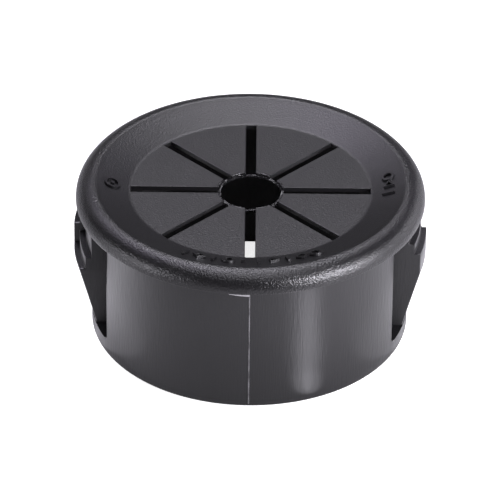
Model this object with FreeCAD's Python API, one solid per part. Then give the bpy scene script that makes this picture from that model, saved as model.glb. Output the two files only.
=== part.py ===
import FreeCAD, Part
import math
import os

Vector = FreeCAD.Vector

# A snap-in cable bushing, moulded in one piece, for a round hole in a sheet metal panel.
# Lengths are in millimetres and angles in degrees. The origin is the centre of the bottom rim.
# The axis is +Z, the snap fingers stand at +X and -X, and the mould halves meet at +Y and -Y.

# Shank: the round tube that goes through the panel.
shank_radius = 11.05
shank_wall = 1.95
shank_length = 10.0
rim_round = 0.2
rim_chamfer = 0.15

# Flange: a quarter-round rim that rests on the panel, with a dish inside its crown.
flange_radius = 12.1
flange_height = 1.33
flange_edge = 0.06
crown_land = 0.1
dish_depth = 0.83

# Membrane: a thin slit diaphragm across the foot of the dish, with a thin ring at its hole.
membrane_radius = 8.4
membrane_thickness = 0.35
vane_tip_radius = 2.2
slit_count = 8
slit_width = 0.7
slit_end_land = 0.1
slit_overcut = 0.2
ring_radius = 2.03
ring_width = 0.25
ring_depth = 0.2
ceiling_chamfer = 0.3

# Windows: an opening in the wall round each finger, rounded at its lower corners.
window_half_width = 4.95
window_sill = 1.15
window_corner = 0.5

# Fingers: each stands on the sill, leans out as a ramp and ends in two stepped noses.
finger_half_width = 3.45
finger_root_half_width = 2.75
finger_top_gap = 0.5
finger_root_depth = 0.4
ramp_foot_height = 0.2
nose_underside = 6.0
base_proud = 0.4
step_depth = 0.4

# Panels that each half of a finger grips: thickness at its inner tread, then at its nose.
thin_panel_grips = (1.6, 2.4)
thick_panel_grips = (3.0, 3.9)

# Sizes that follow from those above.
bore_radius = shank_radius - shank_wall
crown_top = shank_length + flange_height
membrane_top = crown_top - dish_depth
ceiling = membrane_top - membrane_thickness
ring_top = membrane_top - ring_depth
flange_round = flange_height - flange_edge
crown_radius = flange_radius - flange_round
slit_end_radius = membrane_radius - slit_end_land
finger_top = shank_length - finger_top_gap
base_radius = shank_radius + base_proud
step_radius = base_radius + step_depth
nose_radius = step_radius + step_depth
side_reach = 2 * nose_radius


def point(across, up):
    """A point of an outline drawn in the XZ plane."""
    return Vector(across, 0, up)


def arc(centre, radius, start, turn):
    """The start, middle and end of an arc in the XZ plane, with its angles from +X."""
    angles = [math.radians(start + share * turn) for share in (0, 0.5, 1)]
    return [centre + point(radius * math.cos(angle), radius * math.sin(angle)) for angle in angles]


def outline_face(stretches):
    """A flat face from single points and arcs in order, with straight edges between them."""
    edges = []
    for stretch, following in zip(stretches, stretches[1:] + stretches[:1]):
        if len(stretch) == 3:
            edges.append(Part.Arc(*stretch).toShape())
        edges.append(Part.makeLine(stretch[-1], following[0]))
    return Part.Face(Part.Wire(edges))


def turned(face):
    """The ring that a face sweeps round the Z axis."""
    return face.revolve(Vector(0, 0, 0), Vector(0, 0, 1), 360)


def carried_out(face):
    """The prism of a face that is drawn from the side and carried out along +X."""
    prism = face.extrude(Vector(0, -side_reach, 0))
    prism.rotate(Vector(0, 0, 0), Vector(0, 0, 1), 90)
    return prism


def half_turned(shape):
    """A copy of the shape, turned to the opposite side of the shank."""
    copy = shape.copy()
    copy.rotate(Vector(0, 0, 0), Vector(0, 0, 1), 180)
    return copy


def shank_and_flange():
    """The shank, flange, dish and membrane with its hole, turned from one section."""
    return turned(outline_face([
        arc(point(shank_radius - rim_round, rim_round), rim_round, 270, 90),
        [point(shank_radius, shank_length)],
        [point(flange_radius, shank_length)],
        arc(point(crown_radius, shank_length + flange_edge), flange_round, 0, 90),
        [point(crown_radius - crown_land, crown_top)],
        [point(membrane_radius, membrane_top)],
        [point(vane_tip_radius, membrane_top)],
        [point(vane_tip_radius, ceiling)],
        [point(bore_radius - ceiling_chamfer, ceiling)],
        [point(bore_radius, ceiling - ceiling_chamfer)],
        [point(bore_radius, rim_chamfer)],
        [point(bore_radius + rim_chamfer, 0)],
    ]))


def tip_ring():
    """The thin ring that ties the tips of the vanes together, low in the membrane."""
    return turned(outline_face([
        [point(ring_radius, ceiling)],
        [point(ring_radius + ring_width, ceiling)],
        [point(ring_radius + ring_width, ring_top)],
        [point(ring_radius, ring_top)],
    ]))


def slits():
    """The slits that part the membrane into vanes, from the hole to the foot of the dish."""
    first = Part.makeBox(slit_end_radius, slit_width, membrane_thickness + 2 * slit_overcut)
    first.translate(Vector(0, -slit_width / 2, ceiling - slit_overcut))
    cuts = []
    for index in range(slit_count):
        slit = first.copy()
        slit.rotate(Vector(0, 0, 0), Vector(0, 0, 1), index * 360 / slit_count)
        cuts.append(slit)
    return cuts


def window():
    """The opening in the +X wall, from its sill up to the underside of the flange."""
    corner = window_half_width - window_corner
    floor = window_sill + window_corner
    return carried_out(outline_face([
        arc(point(-corner, floor), window_corner, 180, 90),
        arc(point(corner, floor), window_corner, 270, 90),
        [point(window_half_width, shank_length)],
        [point(-window_half_width, shank_length)],
    ]))


def finger_ring(tread_grip, nose_grip):
    """The finger's section turned into a whole ring: root, ramp, nose, tread and plain top."""
    root_floor = window_sill - finger_root_depth
    return turned(outline_face([
        [point(bore_radius, window_sill)],
        [point(bore_radius + finger_root_depth, root_floor)],
        [point(shank_radius - finger_root_depth, root_floor)],
        [point(shank_radius, window_sill)],
        [point(shank_radius, window_sill + ramp_foot_height)],
        [point(nose_radius, nose_underside)],
        [point(nose_radius, shank_length - nose_grip)],
        [point(step_radius, shank_length - nose_grip)],
        [point(step_radius, shank_length - tread_grip)],
        [point(base_radius, shank_length - tread_grip)],
        [point(base_radius, finger_top)],
        [point(bore_radius, finger_top)],
    ]))


def half_finger(grips, side):
    """The half of the +X finger on one side of its middle, -1 for -Y and 1 for +Y."""
    root_floor = window_sill - finger_root_depth
    cheek = carried_out(outline_face([
        [point(0, root_floor)],
        [point(side * finger_root_half_width, root_floor)],
        [point(side * finger_root_half_width, window_sill)],
        [point(side * finger_half_width, nose_underside)],
        [point(side * finger_half_width, finger_top)],
        [point(0, finger_top)],
    ]))
    return finger_ring(*grips).common(cheek)


def snap_bushing():
    """The whole moulding as one solid."""
    finger = half_finger(thin_panel_grips, -1).fuse(half_finger(thick_panel_grips, 1))
    opening = window()
    moulding = shank_and_flange().cut([opening, half_turned(opening)] + slits())
    return moulding.fuse([tip_ring(), finger, half_turned(finger)]).removeSplitter()


bushing = snap_bushing()
os.makedirs("parts", exist_ok=True)
bushing.exportStep("parts/snap_bushing.step")
print(f"snap_bushing: {len(bushing.Solids)} solid, {bushing.Volume:.1f} cubic mm, valid {bushing.isValid()}")
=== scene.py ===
import math

import bmesh
import bpy
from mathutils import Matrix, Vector


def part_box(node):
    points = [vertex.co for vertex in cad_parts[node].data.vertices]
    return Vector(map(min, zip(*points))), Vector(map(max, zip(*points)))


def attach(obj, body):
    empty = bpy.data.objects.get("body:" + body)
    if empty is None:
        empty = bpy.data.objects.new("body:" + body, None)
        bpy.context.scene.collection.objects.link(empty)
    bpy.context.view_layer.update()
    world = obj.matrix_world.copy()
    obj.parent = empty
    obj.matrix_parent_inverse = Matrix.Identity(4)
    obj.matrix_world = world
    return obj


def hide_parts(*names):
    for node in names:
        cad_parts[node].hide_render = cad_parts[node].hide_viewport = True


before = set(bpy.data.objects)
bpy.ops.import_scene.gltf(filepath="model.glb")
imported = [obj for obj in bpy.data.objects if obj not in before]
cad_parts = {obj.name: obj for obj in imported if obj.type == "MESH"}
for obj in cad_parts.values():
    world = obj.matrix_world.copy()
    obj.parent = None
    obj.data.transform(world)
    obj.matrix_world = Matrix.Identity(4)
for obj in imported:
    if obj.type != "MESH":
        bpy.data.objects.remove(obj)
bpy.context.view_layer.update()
mm = 0.001
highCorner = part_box("snap_bushing")[1]
bpy.context.scene.view_settings.view_transform = "Standard"
print("frame loaded")

# how places, directions and sharp edges are told apart when a shape is picked
near = 0.1 * mm
touching = 0.01 * mm
weldWithin = 0.0005 * mm
level = 0.9999
sharpAngle = math.radians(25)
flatAngle = math.radians(0.01)


# small helpers

def pickOnly(obj):
    bpy.ops.object.select_all(action="DESELECT")
    obj.select_set(True)
    bpy.context.view_layer.objects.active = obj


def pickFaces(obj, wanted):
    # selects the faces whose centre and normal pass the test, in edit mode
    bpy.ops.mesh.select_mode(type="FACE")
    bpy.ops.mesh.select_all(action="DESELECT")
    mesh = bmesh.from_edit_mesh(obj.data)
    for face in mesh.faces:
        face.select_set(wanted(face.calc_center_median(), face.normal))
    bmesh.update_edit_mesh(obj.data)


def pickEdges(obj, wanted, sharpOnly=False, along=None):
    # selects the edges whose two ends pass the test, in edit mode, and if asked only the sharp ones
    # or the ones that run along a direction
    bpy.ops.mesh.select_mode(type="EDGE")
    bpy.ops.mesh.select_all(action="DESELECT")
    if sharpOnly:
        bpy.ops.mesh.edges_select_sharp(sharpness=sharpAngle)
    mesh = bmesh.from_edit_mesh(obj.data)
    for edge in mesh.edges:
        first, second = (vert.co for vert in edge.verts)
        passes = wanted(first) and wanted(second) and (edge.select or not sharpOnly)
        if along is not None:
            passes = passes and (second - first).cross(along).length < touching
        edge.select_set(passes)
    bmesh.update_edit_mesh(obj.data)


def pickVerts(obj, wanted):
    # selects the vertices that pass the test, in edit mode
    bpy.ops.mesh.select_mode(type="VERT")
    bpy.ops.mesh.select_all(action="DESELECT")
    mesh = bmesh.from_edit_mesh(obj.data)
    for vert in mesh.verts:
        vert.select_set(wanted(vert.co))
    bmesh.update_edit_mesh(obj.data)


def raiseBy(height):
    bpy.ops.mesh.extrude_region_move(TRANSFORM_OT_translate={"value": (0, 0, height)})


def growTo(at, radius, height):
    # extrudes the selected cap and brings it to the next ring of the section
    raiseBy(height - at["height"])
    share = radius / at["radius"]
    bpy.ops.transform.resize(value=(share, share, 1), center_override=(0, 0, height))
    at["radius"], at["height"] = radius, height


def bevelPicked(width, steps):
    bpy.ops.mesh.bevel(offset=width, segments=steps, profile=0.5, clamp_overlap=False)


def roundEdges(obj, width, steps, wanted):
    # rounds the sharp edges whose ends pass the test
    pickOnly(obj)
    bpy.ops.object.mode_set(mode="EDIT")
    pickEdges(obj, wanted, sharpOnly=True)
    bevelPicked(width, steps)
    bpy.ops.object.mode_set(mode="OBJECT")


def combine(obj, other, how):
    # one boolean, applied, and the other shape is used up
    pickOnly(obj)
    step = obj.modifiers.new("combine", "BOOLEAN")
    step.operation = how
    step.solver = "EXACT"
    step.object = other
    bpy.ops.object.modifier_apply(modifier=step.name)
    bpy.data.objects.remove(other)


def tidyMesh(obj):
    # merges doubles and takes out the lines inside flat faces
    pickOnly(obj)
    bpy.ops.object.mode_set(mode="EDIT")
    bpy.ops.mesh.select_all(action="SELECT")
    bpy.ops.mesh.remove_doubles(threshold=weldWithin)
    bpy.ops.mesh.dissolve_limited(angle_limit=flatAngle)
    bpy.ops.object.mode_set(mode="OBJECT")


def turnAboutAxis(obj, angle):
    pickOnly(obj)
    obj.rotation_euler = (0, 0, angle)
    bpy.ops.object.transform_apply(location=False, rotation=True, scale=False)


def blockAt(name, size, centre, turn=0.0):
    # a block of that size, turned about Z round the origin after it is put in place
    bpy.ops.object.select_all(action="DESELECT")
    bpy.ops.mesh.primitive_cube_add(size=1, location=centre)
    block = bpy.context.object
    block.name = name
    block.scale = size
    bpy.ops.object.transform_apply(location=True, rotation=False, scale=True)
    turnAboutAxis(block, turn)
    return block


def cylinderAt(name, corners, radius, low, high):
    # an upright cylinder on the axis, each end one flat face
    bpy.ops.object.select_all(action="DESELECT")
    bpy.ops.mesh.primitive_cylinder_add(
        vertices=corners, radius=radius, depth=high - low, location=(0, 0, (high + low) / 2),
        end_fill_type="NGON")
    cylinder = bpy.context.object
    cylinder.name = name
    bpy.ops.object.transform_apply(location=True, rotation=False, scale=False)
    return cylinder


def flatRing(name, corners, inner, outer, low, high):
    # a flat ring, or with few corners a flat frame, standing on the axis
    ring = cylinderAt(name, corners, outer, low, high)
    bpy.ops.object.mode_set(mode="EDIT")
    pickFaces(ring, lambda centre, normal: abs(normal.z) > level)
    bpy.ops.mesh.inset(thickness=(outer - inner) * math.cos(math.pi / corners))
    bpy.ops.mesh.bridge_edge_loops()
    bpy.ops.mesh.select_all(action="SELECT")
    bpy.ops.mesh.normals_make_consistent(inside=False)
    bpy.ops.object.mode_set(mode="OBJECT")
    return ring


def radiusOf(co):
    return math.hypot(co.x, co.y)


# the shank, flange, dish and membrane

moulding = {                      # sizes in mm; the flange's radius and top come from the frame
    "turnSteps": 256,
    "shankRadius": 11.05,
    "shankWall": 1.95,
    "shankLength": 10.0,
    "rimRound": 0.2,
    "rimSteps": 5,
    "rimChamfer": 0.15,
    "flangeEdge": 0.06,
    "flangeSteps": 14,
    "crownLand": 0.1,
    "browRound": 0.09,
    "dishDepth": 0.83,
    "membraneRadius": 8.4,
    "membraneThickness": 0.35,
    "footRound": 0.12,
    "dishSteps": 3,
    "vaneTipRadius": 2.2,
    "vaneRound": 0.05,
    "vaneSteps": 2,
    "ceilingChamfer": 0.3,
}
shankRadius = moulding["shankRadius"] * mm
boreRadius = shankRadius - moulding["shankWall"] * mm
shankLength = moulding["shankLength"] * mm
flangeRadius = highCorner.y
crownTop = highCorner.z
membraneTop = crownTop - moulding["dishDepth"] * mm
ceiling = membraneTop - moulding["membraneThickness"] * mm
membraneRadius = moulding["membraneRadius"] * mm
quarterRound = crownTop - shankLength - moulding["flangeEdge"] * mm
brow = flangeRadius - quarterRound - moulding["crownLand"] * mm
vaneTipRadius = moulding["vaneTipRadius"] * mm


def raiseFlange(body):
    # out from the shank's top and up, then a quarter-round edge
    pickFaces(body, lambda centre, normal: normal.z > level)
    at = {"radius": shankRadius, "height": shankLength}
    growTo(at, flangeRadius, shankLength)
    growTo(at, flangeRadius, crownTop)
    pickEdges(body, lambda co: co.z > crownTop - near)
    bevelPicked(quarterRound, moulding["flangeSteps"])


def sinkDish(body):
    # in over the crown and down the dish to the membrane and its hole
    pickFaces(body, lambda centre, normal: normal.z > level and centre.z > crownTop - near)
    at = {"radius": flangeRadius - quarterRound, "height": crownTop}
    growTo(at, brow, crownTop)
    growTo(at, membraneRadius, membraneTop)
    growTo(at, vaneTipRadius, membraneTop)
    growTo(at, vaneTipRadius, ceiling)
    bpy.ops.mesh.delete(type="FACE")
    pickEdges(body, lambda co: co.z > membraneTop + near and abs(radiusOf(co) - brow) < touching)
    bevelPicked(moulding["browRound"] * mm, moulding["dishSteps"])
    pickEdges(body, lambda co: co.z > ceiling + near and abs(radiusOf(co) - membraneRadius) < touching)
    bevelPicked(moulding["footRound"] * mm, moulding["dishSteps"])


def hollowOut(body):
    # from the bottom rim up the bore to the underside of the membrane
    chamfer, ceilingChamfer = moulding["rimChamfer"] * mm, moulding["ceilingChamfer"] * mm
    pickFaces(body, lambda centre, normal: normal.z < -level and centre.z < near)
    at = {"radius": shankRadius - moulding["rimRound"] * mm, "height": 0.0}
    growTo(at, boreRadius + chamfer, 0.0)
    growTo(at, boreRadius, chamfer)
    growTo(at, boreRadius, ceiling - ceilingChamfer)
    growTo(at, boreRadius - ceilingChamfer, ceiling)
    growTo(at, vaneTipRadius, ceiling)
    bpy.ops.mesh.delete(type="FACE")


def makeBody():
    body = cylinderAt("nylonBushing", moulding["turnSteps"], shankRadius, 0, shankLength)
    bpy.ops.object.mode_set(mode="EDIT")
    pickEdges(body, lambda co: co.z < near)
    bevelPicked(moulding["rimRound"] * mm, moulding["rimSteps"])
    raiseFlange(body)
    sinkDish(body)
    hollowOut(body)
    bpy.ops.mesh.select_all(action="SELECT")
    bpy.ops.mesh.remove_doubles(threshold=weldWithin)
    bpy.ops.mesh.normals_make_consistent(inside=False)
    bpy.ops.object.mode_set(mode="OBJECT")
    return body


slits = {"count": 8, "width": 0.7, "endLand": 0.1, "cutHeight": 1.0}      # sizes in mm


def cutSlits(body):
    reach = membraneRadius - slits["endLand"] * mm
    for index in range(slits["count"]):
        cutter = blockAt("slitCutter", (reach, slits["width"] * mm, slits["cutHeight"] * mm),
                         (reach / 2, 0, (membraneTop + ceiling) / 2), index * math.tau / slits["count"])
        combine(body, cutter, "DIFFERENCE")


windows = {                       # sizes in mm; the cutter's length only has to clear the wall
    "halfWidth": 4.95,
    "sill": 1.15,
    "corner": 0.5,
    "cornerSteps": 8,
    "cutLength": 14.0,
    "edgeRound": 0.14,
    "edgeSteps": 3,
    "roundedPast": 5.0,
}
sillTop = windows["sill"] * mm


def cutWindows(body):
    width, length = 2 * windows["halfWidth"] * mm, windows["cutLength"] * mm
    for side in (1, -1):
        cutter = blockAt("windowCutter", (length, width, shankLength - sillTop),
                         (side * length / 2, 0, (shankLength + sillTop) / 2))
        bpy.ops.object.mode_set(mode="EDIT")
        pickEdges(cutter, lambda co: co.z < sillTop + touching, along=Vector((1, 0, 0)))
        bevelPicked(windows["corner"] * mm, windows["cornerSteps"])
        bpy.ops.object.mode_set(mode="OBJECT")
        combine(body, cutter, "DIFFERENCE")


def onVanes(co):
    # the membrane's hole and the sides of its slits
    return co.z > ceiling - touching and radiusOf(co) < membraneRadius - slits["endLand"] * mm / 2


def onWindowEdges(co):
    # the outer edges of the windows above their sills, and the corner under the flange beside them
    onOutside = abs(radiusOf(co) - shankRadius) < near and abs(co.x) > windows["roundedPast"] * mm
    return onOutside and sillTop + touching < co.z < shankLength + touching


# the snap fingers

finger = {                        # sizes in mm; the cheek and core only have to clear the finger
    "halfWidth": 3.45,
    "rootHalfWidth": 2.75,
    "topGap": 0.5,
    "rootDepth": 0.4,
    "rampFoot": 0.2,
    "noseUnderside": 6.0,
    "baseProud": 0.4,
    "stepDepth": 0.4,
    "thinGrips": (1.6, 2.4),      # thicknesses of sheet that this half grips, at its tread and its nose
    "thickGrips": (3.0, 3.9),
    "edgeRound": 0.05,
    "edgeSteps": 2,
    "sink": 0.03,                 # how far it reaches into the wall's faces
    "overlap": 0.01,              # how far the slimmer half reaches into the other
    "cheekRange": (8.0, 16.0),
    "cheekHeights": (0.5, 11.0),
    "coreHeights": (-5.0, 15.0),
}


def fingerRing(grips):
    # the finger's section as a whole ring, from its plain top down to its root
    top = shankLength - finger["topGap"] * mm
    tread, nose = (shankLength - grip * mm for grip in grips)
    baseRadius = shankRadius + finger["baseProud"] * mm
    stepRadius = baseRadius + finger["stepDepth"] * mm
    noseRadius = highCorner.x
    rootDepth, sink = finger["rootDepth"] * mm, finger["sink"] * mm
    ring = cylinderAt("fingerRing", moulding["turnSteps"], baseRadius, tread, top)
    bpy.ops.object.mode_set(mode="EDIT")
    pickFaces(ring, lambda centre, normal: normal.z < -level)
    at = {"radius": baseRadius, "height": tread}
    growTo(at, stepRadius, tread)
    growTo(at, stepRadius, nose)
    growTo(at, noseRadius, nose)
    growTo(at, noseRadius, finger["noseUnderside"] * mm)
    growTo(at, shankRadius - sink, sillTop + finger["rampFoot"] * mm)
    growTo(at, shankRadius - sink, sillTop - sink)
    growTo(at, shankRadius - rootDepth, sillTop - rootDepth)
    bpy.ops.object.mode_set(mode="OBJECT")
    low, high = (height * mm for height in finger["coreHeights"])
    combine(ring, cylinderAt("core", moulding["turnSteps"], boreRadius + sink, low, high), "DIFFERENCE")
    return ring


def halfFinger(grips, side, overlap):
    # a tapered cheek block keeps one half of the ring's +X sector, and an overlap past its middle
    ring = fingerRing(grips)
    half, rootHalf = finger["halfWidth"] * mm, finger["rootHalfWidth"] * mm
    underside = finger["noseUnderside"] * mm
    inner, outer = (reach * mm for reach in finger["cheekRange"])
    low, high = (height * mm for height in finger["cheekHeights"])
    foot = sillTop - finger["sink"] * mm
    cheek = blockAt("cheek", (outer - inner, half + overlap, foot - low),
                    ((outer + inner) / 2, side * (half - overlap) / 2, (foot + low) / 2))
    bpy.ops.object.mode_set(mode="EDIT")
    pickFaces(cheek, lambda centre, normal: normal.z > level)
    raiseBy(underside - foot)
    raiseBy(high - underside)
    pickVerts(cheek, lambda co: abs(co.y) > near and co.z < underside - near)
    bpy.ops.transform.translate(value=(0, side * (rootHalf - half), 0))
    bpy.ops.object.mode_set(mode="OBJECT")
    combine(ring, cheek, "INTERSECT")
    return ring


def makeFinger():
    # the thick panels' half is the slimmer one, so it is the one that reaches into the other
    piece = halfFinger(finger["thinGrips"], -1, 0.0)
    combine(piece, halfFinger(finger["thickGrips"], 1, finger["overlap"] * mm), "UNION")
    tidyMesh(piece)
    roundEdges(piece, finger["edgeRound"] * mm, finger["edgeSteps"], lambda co: co.z > sillTop + near)
    return piece


# the parting line of the mould halves, and a scrap of flash under the flange

parting = {                       # sizes in mm
    "width": 0.09,
    "proud": 0.06,
    "foot": 0.25,
    "edgeRound": 0.036,
    "edgeSteps": 2,
    "flashLength": 1.4,
    "flashDrop": 0.17,
    "flashThick": 0.07,
    "flashCuts": 5,
    "flashTaper": 0.7,            # the share of its drop that is gone at the far end
}


def makePartingLine(side):
    # a low ridge down the shank, whose top reaches into the flange
    proud, foot = parting["proud"] * mm, parting["foot"] * mm
    top = shankLength + proud
    line = blockAt("partingLine", (parting["width"] * mm, 2 * proud, top - foot),
                   (0, side * shankRadius, (top + foot) / 2))
    bpy.ops.object.mode_set(mode="EDIT")
    pickEdges(line, lambda co: side * co.y > shankRadius)
    bevelPicked(parting["edgeRound"] * mm, parting["edgeSteps"])
    bpy.ops.object.mode_set(mode="OBJECT")
    return line


def makeFlash():
    # a thin fin under the flange's edge, which tapers off to the left of the front parting line
    length, drop, thick = (parting[key] * mm for key in ("flashLength", "flashDrop", "flashThick"))
    fin = blockAt("flash", (length, thick, 2 * drop), (-length / 2, 0, shankLength))
    bpy.ops.object.mode_set(mode="EDIT")
    bpy.ops.mesh.select_all(action="SELECT")
    bpy.ops.mesh.subdivide(number_cuts=parting["flashCuts"])
    bpy.ops.object.mode_set(mode="OBJECT")
    for vert in fin.data.vertices:
        vert.co.y -= math.sqrt(flangeRadius ** 2 - vert.co.x ** 2) - thick
        vert.co.z += parting["flashTaper"] * drop * min(1, abs(vert.co.x) / length) ** 2
    return fin


# the thin ring at the hole

tipRing = {                       # sizes in mm; the waves are the moulding's own unevenness
    "corners": 96,
    "radius": 2.03,
    "width": 0.25,
    "depth": 0.2,
    "lift": 0.03,
    "waves": ((3, 0.016, 1.0), (7, 0.02, 2.0), (19, 0.022, 0.5)),
    "topWaves": 5,
}


def makeTipRing():
    # its hole and top wander a little, and it never comes inside its true radius
    inner = tipRing["radius"] * mm
    ring = flatRing("tipRing", tipRing["corners"], inner, inner + tipRing["width"] * mm,
                    ceiling, membraneTop - tipRing["depth"] * mm)
    for vert in ring.data.vertices:
        angle = math.atan2(vert.co.y, vert.co.x)
        wave = sum(size * mm * (1 + math.sin(count * angle + start))
                   for count, size, start in tipRing["waves"])
        if radiusOf(vert.co) < inner + near:
            vert.co.x += wave * math.cos(angle)
            vert.co.y += wave * math.sin(angle)
        if vert.co.z > ceiling + near:
            vert.co.z += wave * math.cos(tipRing["topWaves"] * angle)
        else:
            vert.co.z += tipRing["lift"] * mm
    # triangles, so that no face is out of flat when the ring is joined
    bpy.ops.object.mode_set(mode="EDIT")
    bpy.ops.mesh.select_all(action="SELECT")
    bpy.ops.mesh.quads_convert_to_tris(quad_method="BEAUTY", ngon_method="BEAUTY")
    bpy.ops.object.mode_set(mode="OBJECT")
    return ring


# plain raised mould marks on the slope of the dish: rings, frames, bars, dots and a triangle

marks = {                         # sizes in mm, angles in degrees from the side that a row stands at
    "relief": 0.2,
    "sunk": 0.06,
    "stroke": 0.17,
    "dotWidth": 0.27,
    "middle": 9.6,
    "turn": 0.31,
    "corners": {"ring": 24, "frame": 4, "triangle": 3},
    "rows": (
        {"side": -90, "step": 6.1, "reach": 0.46, "kinds": (
            "bar", "frame", "bar", "ring", "dot", "bar", "triangle", "bar", "frame", "ring")},
        {"side": 180, "step": 0.0, "reach": 0.58, "kinds": ("ring", "dot")},
        {"side": 0, "step": 6.1, "reach": 0.46, "kinds": ("bar", "triangle", "ring")},
    ),
}


def makeMark(kind, reach):
    # one mark, lying flat on the origin
    relief, sunk, stroke, dotWidth = (marks[key] * mm for key in ("relief", "sunk", "stroke", "dotWidth"))
    if kind == "bar":
        return blockAt(kind, (2 * reach, stroke, relief + sunk), (0, 0, (relief - sunk) / 2))
    if kind == "dot":
        return blockAt(kind, (dotWidth, dotWidth, relief + sunk), (0, 0, (relief - sunk) / 2))
    return flatRing(kind, marks["corners"][kind], reach - stroke, reach, -sunk, relief)


def placeMark(mark, bearing):
    # tips the mark onto the slope and turns it to its bearing about the axis
    slope = math.atan2(moulding["dishDepth"] * mm, brow - membraneRadius)
    middle = marks["middle"] * mm
    pickOnly(mark)
    mark.rotation_euler = (0, -slope, 0)
    mark.location = (middle, 0, membraneTop + (middle - membraneRadius) * math.tan(slope))
    bpy.ops.object.transform_apply(location=True, rotation=True, scale=False)
    turnAboutAxis(mark, bearing)


def makeMarks():
    pieces = []
    for row in marks["rows"]:
        for index, kind in enumerate(row["kinds"]):
            offset = (index - (len(row["kinds"]) - 1) / 2) * row["step"] + marks["turn"]
            mark = makeMark(kind, row["reach"] * mm)
            placeMark(mark, math.radians(row["side"] + offset))
            pieces.append(mark)
    pickOnly(pieces[0])
    for piece in pieces[1:]:
        piece.select_set(True)
    bpy.ops.object.join()
    return pieces[0]


# the whole moulding

shading = {"smoothAngle": 32, "ringBelowSill": 0.05}      # degrees, mm


def shadeBody(body):
    # a ring of edges under the sills keeps the shading even below the windows
    pickOnly(body)
    bpy.ops.object.mode_set(mode="EDIT")
    bpy.ops.mesh.select_all(action="SELECT")
    bpy.ops.mesh.bisect(plane_co=(0, 0, sillTop - shading["ringBelowSill"] * mm), plane_no=(0, 0, 1))
    bpy.ops.object.mode_set(mode="OBJECT")
    bpy.ops.object.shade_smooth_by_angle(angle=math.radians(shading["smoothAngle"]))

    # a sharp border round the membrane's flat top keeps the vanes flat
    bpy.ops.object.mode_set(mode="EDIT")
    pickFaces(body, lambda centre, normal: normal.z > level and abs(centre.z - membraneTop) < touching)
    bpy.ops.mesh.region_to_loop()
    bpy.ops.mesh.mark_sharp()
    bpy.ops.object.mode_set(mode="OBJECT")
    weigh = body.modifiers.new("weigh", "WEIGHTED_NORMAL")
    weigh.keep_sharp = True
    bpy.ops.object.modifier_apply(modifier=weigh.name)


body = makeBody()
print("body turned")
cutSlits(body)
cutWindows(body)
tidyMesh(body)
roundEdges(body, moulding["vaneRound"] * mm, moulding["vaneSteps"], onVanes)
roundEdges(body, windows["edgeRound"] * mm, windows["edgeSteps"], onWindowEdges)
print("slits and windows cut, edges rounded")

for turn in (0, math.pi):
    piece = makeFinger()
    turnAboutAxis(piece, turn)
    combine(body, piece, "UNION")
combine(body, makeTipRing(), "UNION")
for side in (-1, 1):
    combine(body, makePartingLine(side), "UNION")
combine(body, makeFlash(), "UNION")
combine(body, makeMarks(), "UNION")
shadeBody(body)
print("fingers, tip ring, parting lines and marks joined")


# the black nylon

nylon = {                         # lengths in mm; the seam's painted highlight patches are a noise's range, then how pale it makes
    "colour": (0.0055, 0.0052, 0.006, 1),
    "refraction": 1.53,
    "dishRoughness": 0.41,
    "crownRoughness": 0.3,
    "dullRoughness": 0.7,
    "shankRoughness": 0.3,
    "ringRoughness": 0.2,
    "finishBlend": 0.2,
    "sidesFrom": (7.0, 8.0),
    "sidesFacing": (0.96, 0.98),
    "border": 0.02,
    "flangeGrain": 0.12,
    "crownGrainHeight": 0.046,
    "dishGrainHeight": 0.018,
    "grainBlend": 0.3,
    "grainDetail": 2.0,
    "shankLines": 0.13,
    "lineStretch": 9.0,
    "shankLineHeight": 0.013,
    "ringGrainHeight": 0.05,
    # painted highlight: the pale colour given to the parting line's patches and to the flash
    "seamHighlightColour": (0.3, 0.295, 0.305, 1),
    "seamBorder": 0.01,
    "seamHighlightPatch": 0.7,
    "seamHighlightPatches": (0.38, 0.6, 0.15, 0.55),
    "finInside": (0.3, 0.2),
    "finAcross": (1.9, 2.0),
}


def makeNode(tree, kind, **settings):
    node = tree.nodes.new(kind)
    for name, value in settings.items():
        setattr(node, name, value)
    return node


def feed(tree, socket, source):
    # a number is set on the socket, and a socket is linked to it
    if isinstance(source, (int, float)):
        socket.default_value = source
    else:
        tree.links.new(source, socket)


def makeNoise(tree, place, size):
    # a noise with grains of about that size in mm
    node = makeNode(tree, "ShaderNodeTexNoise")
    node.inputs["Scale"].default_value = 1 / (size * mm)
    node.inputs["Detail"].default_value = nylon["grainDetail"]
    tree.links.new(place, node.inputs["Vector"])
    return node.outputs["Fac"]


def blend(tree, share, first, second):
    # one value where the share is 0 and the other where it is 1
    node = makeNode(tree, "ShaderNodeMix")
    for socket, source in zip(node.inputs[:1] + node.inputs[2:4], (share, first, second)):
        feed(tree, socket, source)
    return node.outputs[0]


def ramp(tree, source, low, high, lowValue, highValue):
    # passes from one value to another as the source goes from low to high
    node = makeNode(tree, "ShaderNodeMapRange")
    for name, value in (("From Min", low), ("From Max", high), ("To Min", lowValue), ("To Max", highValue)):
        node.inputs[name].default_value = value
    tree.links.new(source, node.inputs["Value"])
    return node.outputs["Result"]


def maths(tree, operation, first, second):
    node = makeNode(tree, "ShaderNodeMath", operation=operation)
    feed(tree, node.inputs[0], first)
    feed(tree, node.inputs[1], second)
    return node.outputs[0]


def scaled(tree, place, factors):
    node = makeNode(tree, "ShaderNodeVectorMath", operation="MULTIPLY")
    node.inputs[1].default_value = factors
    tree.links.new(place, node.inputs[0])
    return node.outputs[0]


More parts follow.
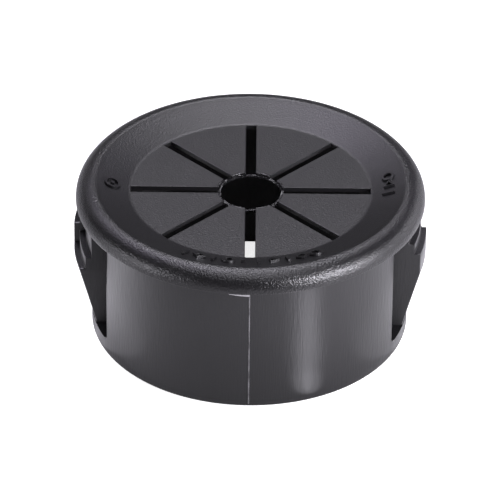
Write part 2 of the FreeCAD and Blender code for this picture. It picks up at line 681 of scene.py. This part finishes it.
def readPlaces(tree):
    # sockets that say where on the object a point lies
    border = nylon["border"] * mm
    coordinates = makeNode(tree, "ShaderNodeTexCoord")
    place = coordinates.outputs["Object"]
    split = makeNode(tree, "ShaderNodeSeparateXYZ")
    tree.links.new(place, split.inputs[0])
    length = makeNode(tree, "ShaderNodeVectorMath", operation="LENGTH")
    tree.links.new(scaled(tree, place, (1, 1, 0)), length.inputs[0])
    height, radius = split.outputs["Z"], length.outputs["Value"]
    ringEdge = (tipRing["radius"] + tipRing["width"]) * mm
    return {
        "place": place,
        "normal": coordinates.outputs["Normal"],
        "height": height,
        "radius": radius,
        "across": maths(tree, "ABSOLUTE", split.outputs["X"], 0),
        "onFlange": ramp(tree, height, shankLength - border, shankLength + border, 0, 1),
        "onRing": ramp(tree, radius, ringEdge + border, ringEdge + 3 * border, 1, 0),
    }


def addColourAndPaintedHighlight(tree, shader, at):
    # the thin seam is painted paler in patches and the flash all over, a painted highlight where they catch
    # the light
    edge = nylon["seamBorder"] * mm
    seamHalf = parting["width"] * mm / 2
    finInside = [flangeRadius - inside * mm for inside in nylon["finInside"]]
    finAcross = [reach * mm for reach in nylon["finAcross"]]
    nearSeam = ramp(tree, at["across"], seamHalf + edge, seamHalf + 2 * edge, 1, 0)
    standsProud = ramp(tree, at["radius"], shankRadius + edge, shankRadius + 2 * edge, 0, 1)
    onShank = ramp(tree, at["height"], shankLength - 3 * edge, shankLength - edge, 1, 0)
    patches = ramp(tree, makeNoise(tree, at["place"], nylon["seamHighlightPatch"]), *nylon["seamHighlightPatches"])
    seamHighlightMask = maths(tree, "MULTIPLY", maths(tree, "MULTIPLY", nearSeam, standsProud), onShank)
    seamHighlightMask = maths(tree, "MULTIPLY", seamHighlightMask, patches)
    finHighlightMask = maths(tree, "MULTIPLY", onShank, ramp(tree, at["radius"], *finInside, 0, 1))
    finHighlightMask = maths(tree, "MULTIPLY", finHighlightMask, ramp(tree, at["across"], *finAcross, 1, 0))
    # the seam and flash are painted pale here, a painted highlight
    tint = makeNode(tree, "ShaderNodeMix", data_type="RGBA")
    tint.inputs[6].default_value = nylon["colour"]
    tint.inputs[7].default_value = nylon["seamHighlightColour"]
    tree.links.new(maths(tree, "MAXIMUM", seamHighlightMask, finHighlightMask), tint.inputs[0])
    tree.links.new(tint.outputs[2], shader.inputs["Base Color"])


def addFinish(tree, shader, at):
    # the shank and crown are smoother than the dish, and the fingers' sides and the hollow are dull
    border, fade = nylon["border"] * mm, nylon["finishBlend"] * mm
    sidesFrom = [reach * mm for reach in nylon["sidesFrom"]]
    facing = makeNode(tree, "ShaderNodeSeparateXYZ")
    tree.links.new(at["normal"], facing.inputs[0])
    sideways = ramp(tree, maths(tree, "ABSOLUTE", facing.outputs["Y"], 0), *nylon["sidesFacing"], 0, 1)
    onSides = maths(tree, "MULTIPLY", sideways, ramp(tree, at["across"], *sidesFrom, 0, 1))
    inHollow = ramp(tree, at["radius"], boreRadius + border, boreRadius + 2 * border, 1, 0)
    isDull = maths(tree, "MAXIMUM", onSides, inHollow)
    shankFinish = blend(tree, isDull, nylon["shankRoughness"], nylon["dullRoughness"])
    flangeFinish = ramp(tree, at["radius"], brow - fade, brow + fade,
                        nylon["dishRoughness"], nylon["crownRoughness"])
    flangeFinish = blend(tree, at["onRing"], flangeFinish, nylon["ringRoughness"])
    tree.links.new(blend(tree, at["onFlange"], shankFinish, flangeFinish), shader.inputs["Roughness"])


def addGrain(tree, shader, at):
    # the crown has the coarsest grain, and the shank has faint lines along its draw
    fade = nylon["grainBlend"] * mm
    lines = makeNoise(tree, scaled(tree, at["place"], (1, 1, 1 / nylon["lineStretch"])), nylon["shankLines"])
    grains = makeNoise(tree, at["place"], nylon["flangeGrain"])
    grainHeight = ramp(tree, at["radius"], brow - fade, brow + fade,
                       nylon["dishGrainHeight"] * mm, nylon["crownGrainHeight"] * mm)
    grainHeight = blend(tree, at["onRing"], grainHeight, nylon["ringGrainHeight"] * mm)
    lineHeight = maths(tree, "MULTIPLY", lines, nylon["shankLineHeight"] * mm)
    relief = blend(tree, at["onFlange"], lineHeight, maths(tree, "MULTIPLY", grains, grainHeight))
    bump = makeNode(tree, "ShaderNodeBump")
    bump.inputs["Distance"].default_value = 1.0
    tree.links.new(relief, bump.inputs["Height"])
    tree.links.new(bump.outputs["Normal"], shader.inputs["Normal"])


def makeNylon():
    material = bpy.data.materials.new("blackNylon")
    material.use_nodes = True
    tree = material.node_tree
    shader = tree.nodes["Principled BSDF"]
    shader.inputs["IOR"].default_value = nylon["refraction"]
    at = readPlaces(tree)
    addColourAndPaintedHighlight(tree, shader, at)
    addFinish(tree, shader, at)
    addGrain(tree, shader, at)
    return material


body.data.materials.clear()
body.data.materials.append(makeNylon())
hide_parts("snap_bushing")
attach(body, "root")
print("nylon on")


# floor, light and camera

floorLook = {                     # size in metres; a glow of 1 is white
    "colour": (0.62, 0.62, 0.62, 1),
    "size": 4.0,
    "cameraGlow": 0.8,
    "glossGlow": 0.03,
}
studio = {                        # distance in metres, to the middle of each softbox
    "worldGlow": 0.05,
    "boxDistance": 0.4,
    "cool": (1.0, 0.98, 1.06),
    "violet": (1.0, 0.88, 1.22),
}
softboxes = {                     # angles in degrees, sizes in metres; bearing 0 is behind the object
    "backBox": {"height": 58, "bearing": 0, "size": (0.20, 0.10), "glow": 11.3},
    "topBox": {"height": 85, "bearing": 180, "size": (0.20, 0.20), "glow": 4.3},
    "frontBox": {"height": 66, "bearing": 180, "size": (0.20, 0.20), "glow": 0.4},
    "backLeftBox": {"height": 58, "bearing": -40, "size": (0.16, 0.14), "glow": 2.7, "tint": "violet"},
    "lowBackLeftBox": {"height": 33, "bearing": -42, "size": (0.16, 0.12), "glow": 1.4},
    "lowBackRightBox": {"height": 33, "bearing": 32, "size": (0.16, 0.12), "glow": 0.35, "tint": "violet"},
    "lowLeftBox": {"height": 8, "bearing": -110, "size": (0.20, 0.08), "glow": 12.0},
    "lowRightBox": {"height": 8, "bearing": 110, "size": (0.20, 0.08), "glow": 7.0},
    "sideRightBox": {"height": 10, "bearing": 75, "size": (0.20, 0.08), "glow": 3.2},
}
nearLamps = {                     # sizes and places in mm, close to the object
    "leftWash": {"place": (-20.5, -2, 7), "aim": (-20.5, -2, 0), "size": (10, 12), "glow": 5.6},
    "rightWash": {"place": (22, 4, 13), "aim": (22, 4, 0), "size": (12, 16), "glow": 3.0},
    "floorWash": {"place": (50, -30, 30), "aim": (26, -12, 0), "size": (20, 20), "glow": 18.0},
    "rimSpark": {"place": (48, -47, 33), "aim": (4, -11, 10), "size": (10, 8), "glow": 160.0},
}
strips = {                        # soft-ended strips in mm and degrees, which lie on the floor and shine up
    "nearStrip": {"place": (5.7, -12.1, 0.4), "size": (1.1, 3.8), "turn": 43, "glow": 1.6},
    "nearHalo": {"place": (5.7, -12.2, 0.3), "size": (2.9, 4.4), "turn": 43, "glow": 1.6},
    "middleStrip": {"place": (8.28, -14.81, 0.4), "size": (2.3, 5.0), "turn": 43, "glow": 1.5},
    "middleHalo": {"place": (8.28, -14.81, 0.3), "size": (4.4, 6.0), "turn": 43, "glow": 1.4},
    "farStrip": {"place": (11.96, -18.76, 0.4), "size": (4.4, 8.0), "turn": 43, "glow": 3.2},
    "leftStrip": {"place": (-13.4, -3.4, 0.3), "size": (5.5, 12), "turn": 25, "glow": 0.4},
    "rightStrip": {"place": (13.4, -3.4, 0.3), "size": (5.5, 12), "turn": -25, "glow": 0.4},
}


def seenDirectly(tree, path):
    return maths(tree, "MAXIMUM", path.outputs["Is Camera Ray"], path.outputs["Is Transmission Ray"])


def makeFloor():
    # pale, and glowing just enough for the camera to see it white round the object's shadow
    bpy.ops.object.select_all(action="DESELECT")
    bpy.ops.mesh.primitive_plane_add(size=floorLook["size"], location=(0, 0, 0))
    floor = bpy.context.object
    floor.name = "floor"
    material = bpy.data.materials.new("paleFloor")
    material.use_nodes = True
    tree = material.node_tree
    tree.nodes.clear()
    diffuse = makeNode(tree, "ShaderNodeBsdfDiffuse")
    diffuse.inputs["Color"].default_value = floorLook["colour"]
    path = makeNode(tree, "ShaderNodeLightPath")
    glow = makeNode(tree, "ShaderNodeEmission")
    direct = maths(tree, "MULTIPLY", seenDirectly(tree, path), floorLook["cameraGlow"])
    mirrored = maths(tree, "MULTIPLY", path.outputs["Is Glossy Ray"], floorLook["glossGlow"])
    tree.links.new(maths(tree, "ADD", direct, mirrored), glow.inputs["Strength"])
    both = makeNode(tree, "ShaderNodeAddShader")
    tree.links.new(diffuse.outputs[0], both.inputs[0])
    tree.links.new(glow.outputs[0], both.inputs[1])
    tree.links.new(both.outputs[0], makeNode(tree, "ShaderNodeOutputMaterial").inputs["Surface"])
    floor.data.materials.append(material)


def makeWorld():
    # white where the camera looks straight at it, dim as a light
    world = bpy.data.worlds.new("studio")
    bpy.context.scene.world = world
    world.use_nodes = True
    tree = world.node_tree
    background = tree.nodes["Background"]
    background.inputs["Color"].default_value = (1, 1, 1, 1)
    seen = seenDirectly(tree, makeNode(tree, "ShaderNodeLightPath"))
    tree.links.new(maths(tree, "MAXIMUM", seen, studio["worldGlow"]), background.inputs["Strength"])


def addLamp(name, size, glow, tint="cool", shape="RECTANGLE"):
    # a lamp whose face has the given glow, where 1 is white
    data = bpy.data.lights.new(name, "AREA")
    data.color = studio[tint]
    data.shape = shape
    data.size, data.size_y = size
    area = size[0] * size[1] * (math.pi / 4 if shape == "ELLIPSE" else 1)
    data.energy = glow * math.pi * area
    lamp = bpy.data.objects.new(name, data)
    bpy.context.scene.collection.objects.link(lamp)
    lamp.visible_camera = False
    return lamp


def pointLamp(lamp, place, aim):
    lamp.location = place
    lamp.rotation_euler = (Vector(place) - Vector(aim)).to_track_quat("Z", "Y").to_euler()


def makeLamps():
    for name, box in softboxes.items():
        height, bearing = math.radians(box["height"]), math.radians(box["bearing"])
        out, up = studio["boxDistance"] * math.cos(height), studio["boxDistance"] * math.sin(height)
        lamp = addLamp(name, box["size"], box["glow"], box.get("tint", "cool"))
        pointLamp(lamp, (out * math.sin(bearing), out * math.cos(bearing), up), (0, 0, shankLength))
    for name, spot in nearLamps.items():
        place, aim, size = ([value * mm for value in spot[key]] for key in ("place", "aim", "size"))
        pointLamp(addLamp(name, size, spot["glow"]), place, aim)
    for name, strip in strips.items():
        place, size = ([value * mm for value in strip[key]] for key in ("place", "size"))
        lamp = addLamp(name, size, strip["glow"], shape="ELLIPSE")
        lamp.location = place
        lamp.rotation_euler = (math.pi, 0, math.radians(strip["turn"]))


camera = {                        # angles in degrees, lengths in mm; the distance is to the membrane
    "elevation": 33.3,
    "tipDown": 0.6875,
    "roll": 0.6,
    "distance": 346.0,
    "lens": 360.0,
    "sensor": 36.0,
    "clipStart": 10.0,
}


def makeCamera():
    data = bpy.data.cameras.new("viewCamera")
    data.lens = camera["lens"]
    data.sensor_width = camera["sensor"]
    data.clip_start = camera["clipStart"] * mm
    obj = bpy.data.objects.new("viewCamera", data)
    bpy.context.scene.collection.objects.link(obj)
    lift = math.radians(camera["elevation"])
    reach = camera["distance"] * mm
    obj.location = (0, -reach * math.cos(lift), membraneTop + reach * math.sin(lift))
    obj.rotation_euler = (math.pi / 2 - lift - math.radians(camera["tipDown"]), 0, 0)
    obj.rotation_euler.rotate_axis("Z", math.radians(camera["roll"]))
    bpy.context.scene.camera = obj


makeFloor()
makeWorld()
makeLamps()
makeCamera()
print("scene ready")
